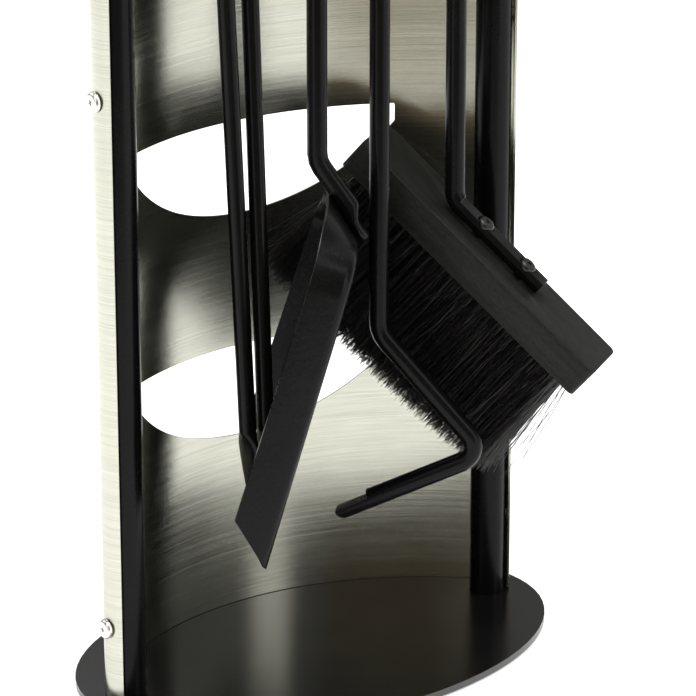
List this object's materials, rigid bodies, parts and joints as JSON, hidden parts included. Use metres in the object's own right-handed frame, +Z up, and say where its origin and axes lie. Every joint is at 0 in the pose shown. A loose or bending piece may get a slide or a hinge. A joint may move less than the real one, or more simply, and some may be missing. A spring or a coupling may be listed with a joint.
{
  "type": "fireplace tool set",
  "caption": "Fireplace tool stand: oval foot, two posts, bowed stainless sheet with bowl-shaped windows, and hanging tongs, shovel, poker and brush that lift off.",
  "frame": {"origin": "middle of the underside, on the floor", "axes": "+Z up, +X along the line of the two posts, +Y towards the sheet; the tools hang at the front, -Y"},
  "size_m": [0.248, 0.1809, 0.7052],
  "materials": {
    "powder_coat": "fine-textured black powder coat",
    "satin_black": "satin black coat",
    "stainless": "brushed, grain level",
    "zinc": "bright zinc plate",
    "black_zinc": "black zinc plate",
    "painted_wood": "black paint, open grain",
    "bristle": "stiff black bristle",
    "pad": "matte"
  },
  "bodies": {
    "stand": {"base_plate": "powder_coat", "base_pad": "pad", "back_sheet": "stainless", "holder_plate": "powder_coat", "post_left": "powder_coat", "post_screw_left": "zinc", "holder_screw_left": "zinc", "sheet_screw_left_1": "zinc", "sheet_screw_left_2": "zinc", "sheet_screw_left_3": "zinc", "post_right": "powder_coat", "post_screw_right": "zinc", "holder_screw_right": "zinc", "sheet_screw_right_1": "zinc", "sheet_screw_right_2": "zinc", "sheet_screw_right_3": "zinc"},
    "tongs": {"tongs_collar": "powder_coat", "tongs_grip": "stainless", "tongs_cap": "powder_coat", "tongs_shaft": "satin_black", "tongs_lug": "satin_black", "tongs_pin": "zinc"},
    "shovel": {"shovel_collar": "powder_coat", "shovel_grip": "stainless", "shovel_cap": "powder_coat", "shovel_shaft": "satin_black", "shovel_pan": "satin_black"},
    "poker": {"poker_collar": "powder_coat", "poker_grip": "stainless", "poker_cap": "powder_coat", "poker_shaft": "satin_black"},
    "brush": {"brush_collar": "powder_coat", "brush_grip": "stainless", "brush_cap": "powder_coat", "brush_shaft": "satin_black", "brush_block": "painted_wood", "brush_screw_1": "black_zinc", "brush_screw_2": "black_zinc", "brush_bristles": "bristle"},
    "tongs_swing_arm": {"tongs_arm": "satin_black"}
  },
  "joints": [
    {"name": "tongs_lift", "type": "slide", "parent": "stand", "child": "tongs", "axis": [0, 0, 1], "range_m": [0, 0.1]},
    {"name": "shovel_lift", "type": "slide", "parent": "stand", "child": "shovel", "axis": [0, 0, 1], "range_m": [0, 0.008]},
    {"name": "poker_lift", "type": "slide", "parent": "stand", "child": "poker", "axis": [0, 0, 1], "range_m": [0, 0.08]},
    {"name": "brush_lift", "type": "slide", "parent": "stand", "child": "brush", "axis": [0, 0, 1], "range_m": [0, 0.25]},
    {"name": "tongs_pivot", "type": "hinge", "parent": "tongs", "child": "tongs_swing_arm", "pos_m": [-0.0704, -0.029, 0.43], "axis": [0, 1, 0], "range_deg": [0, 25]}
  ]
}
